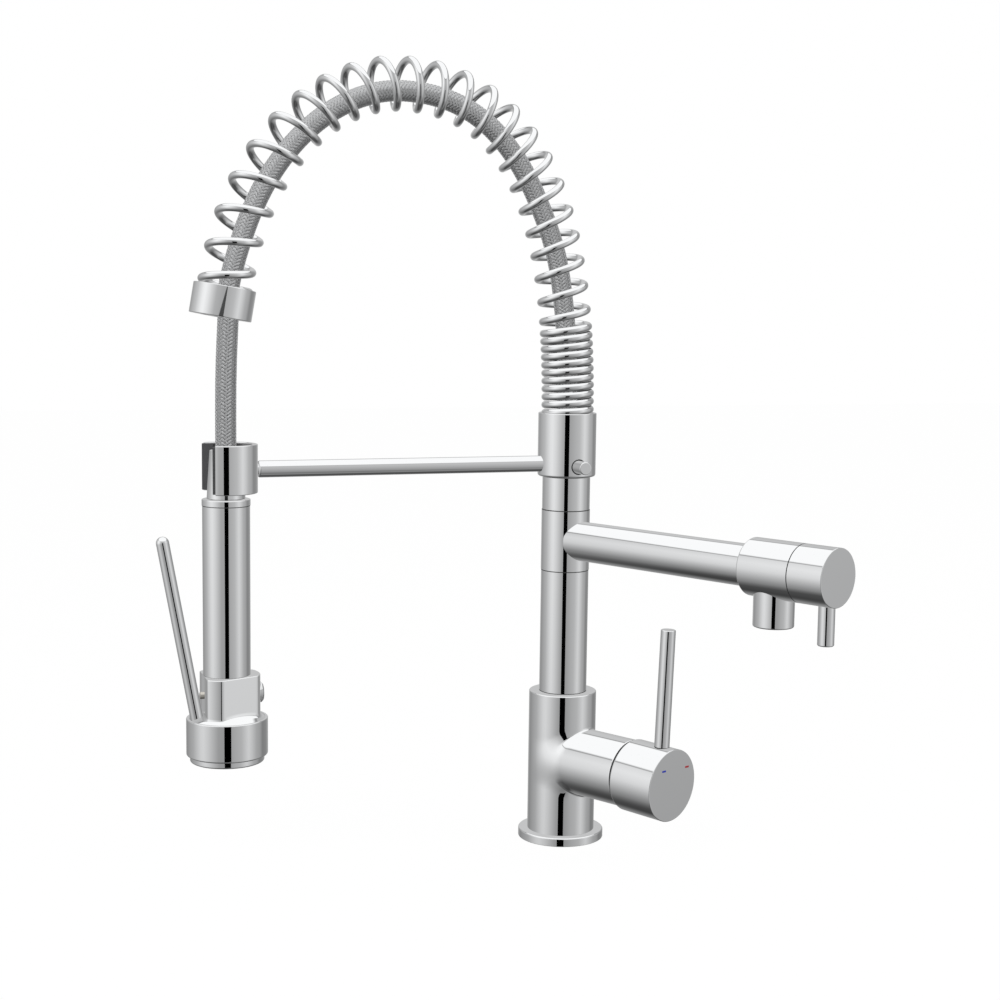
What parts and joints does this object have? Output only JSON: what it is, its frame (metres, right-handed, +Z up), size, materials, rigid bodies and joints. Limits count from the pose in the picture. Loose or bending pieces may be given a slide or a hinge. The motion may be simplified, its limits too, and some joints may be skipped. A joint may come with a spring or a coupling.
{
  "type": "pull-out kitchen faucet",
  "caption": "Pull-out kitchen faucet: mixer with an upright lever, swivelling pot filler, spring arch over a braided hose, and a hand spray with a trigger, docked in a clip.",
  "frame": {"origin": "centre of the base flange's underside, where it stands on the worktop", "axes": "+Z up along the column; -X along the support rod towards the hand spray; the mixer and the pot filler point towards -Y and +X"},
  "size_m": [0.3366, 0.204, 0.4522],
  "materials": {
    "chrome": "polished",
    "brass": "machined",
    "rubber": "matte",
    "white_plastic": "satin",
    "black_plastic": "matte",
    "ceramic": "lapped",
    "braid": "woven wire",
    "steel": "brushed",
    "cold_paint": "enamel",
    "hot_paint": "enamel"
  },
  "bodies": {
    "base": {"base_gasket": "rubber", "base_flange": "chrome", "mixer_body": "chrome", "lower_column": "chrome", "core_tube": "brass", "core_o_rings": "rubber", "bearing_washers": "white_plastic", "upper_neck": "chrome", "cartridge_base": "white_plastic", "cartridge_seals": "rubber", "cartridge_body": "white_plastic", "fixed_disc": "ceramic", "cartridge_nut": "brass", "arm_washer": "white_plastic"},
    "cartridge_turn": {"moving_disc": "ceramic", "cartridge_carrier": "white_plastic", "stem_pin": "brass"},
    "mixer_handle": {"cartridge_stem": "brass", "handle_cap": "chrome", "mixer_lever": "chrome", "grub_screw": "brass", "cold_mark": "cold_paint", "hot_mark": "hot_paint"},
    "spout": {"spout_ring": "chrome", "spout_tube": "chrome", "valve_housing": "chrome", "headwork_body": "brass", "outlet_nozzle": "chrome", "aerator_washer": "rubber", "aerator_insert": "white_plastic"},
    "spout_valve": {"headwork_spindle": "brass", "spout_cap": "chrome", "spout_lever": "chrome"},
    "arm": {"top_collar": "chrome", "hose_tail": "brass", "tail_o_ring": "rubber", "upper_ferrule": "steel", "spring": "chrome", "hose_upper": "braid", "hose_lower": "braid", "spring_end_collar": "chrome", "support_rod": "chrome", "holder_clip": "chrome", "clip_liner": "black_plastic"},
    "lock": {"lock_screw": "chrome"},
    "carriage": {"lower_ferrule": "steel", "swivel_cone": "chrome"},
    "spray": {"grip_ring": "chrome", "grip_tube": "chrome", "water_tube": "white_plastic", "valve_block": "chrome", "end_screw": "chrome", "valve_spring": "steel", "pivot_pin": "steel", "spray_head": "chrome", "face_ring": "chrome", "spray_face": "black_plastic"},
    "trigger": {"trigger_lever": "chrome"},
    "plunger": {"valve_plunger": "brass"}
  },
  "joints": [
    {"name": "spout_swivel", "type": "hinge", "parent": "base", "child": "spout", "pos_m": [0, 0, 0.17915], "axis": [0, 0, 1], "range_deg": [-60, 90]},
    {"name": "arm_swivel", "type": "hinge", "parent": "base", "child": "arm", "pos_m": [0, 0, 0.235], "axis": [0, 0, 1], "range_deg": [-90, 30]},
    {"name": "spout_valve_turn", "type": "hinge", "parent": "spout", "child": "spout_valve", "pos_m": [0.07775, -0.16012, 0.17915], "axis": [0.4368, -0.8996, 0], "range_deg": [0, 90]},
    {"name": "mixer_turn", "type": "hinge", "parent": "base", "child": "cartridge_turn", "pos_m": [0.02025, -0.03906, 0.048], "axis": [0.4602, -0.8878, 0], "range_deg": [-45, 45]},
    {"name": "mixer_lift", "type": "hinge", "parent": "cartridge_turn", "child": "mixer_handle", "pos_m": [0.02025, -0.03906, 0.048], "axis": [0.8877, 0.4601, -0.0175], "range_deg": [0, 18]},
    {"name": "lock_screw_turn", "type": "hinge", "parent": "arm", "child": "lock", "pos_m": [0.00129, -0.01996, 0.2232], "axis": [0.0645, -0.9979, 0], "range_deg": [0, 180]},
    {"name": "spray_pull", "type": "slide", "parent": "arm", "child": "carriage", "axis": [0, 0, -1], "range_m": [0, 0.052], "stiffness_N_per_m": 60, "springref_m": -0.2, "deforming": ["hose_lower"]},
    {"name": "spray_spin", "type": "hinge", "parent": "carriage", "child": "spray", "pos_m": [-0.2006, 0, 0.205], "axis": [0, 0, 1], "continuous": true},
    {"name": "trigger_press", "type": "hinge", "parent": "spray", "child": "trigger", "pos_m": [-0.2171, 0, 0.0837], "axis": [0, 1, 0], "range_deg": [0, 8.5], "stiffness_Nm_per_rad": 0.5, "springref_deg": -17.19},
    {"name": "plunger_push", "type": "slide", "parent": "spray", "child": "plunger", "axis": [1, 0, 0], "range_m": [0, 0.0023]}
  ],
  "couplings": [
    {"joint": "plunger_push", "follows": "trigger_press", "m_per_rad": 0.0148}
  ]
}
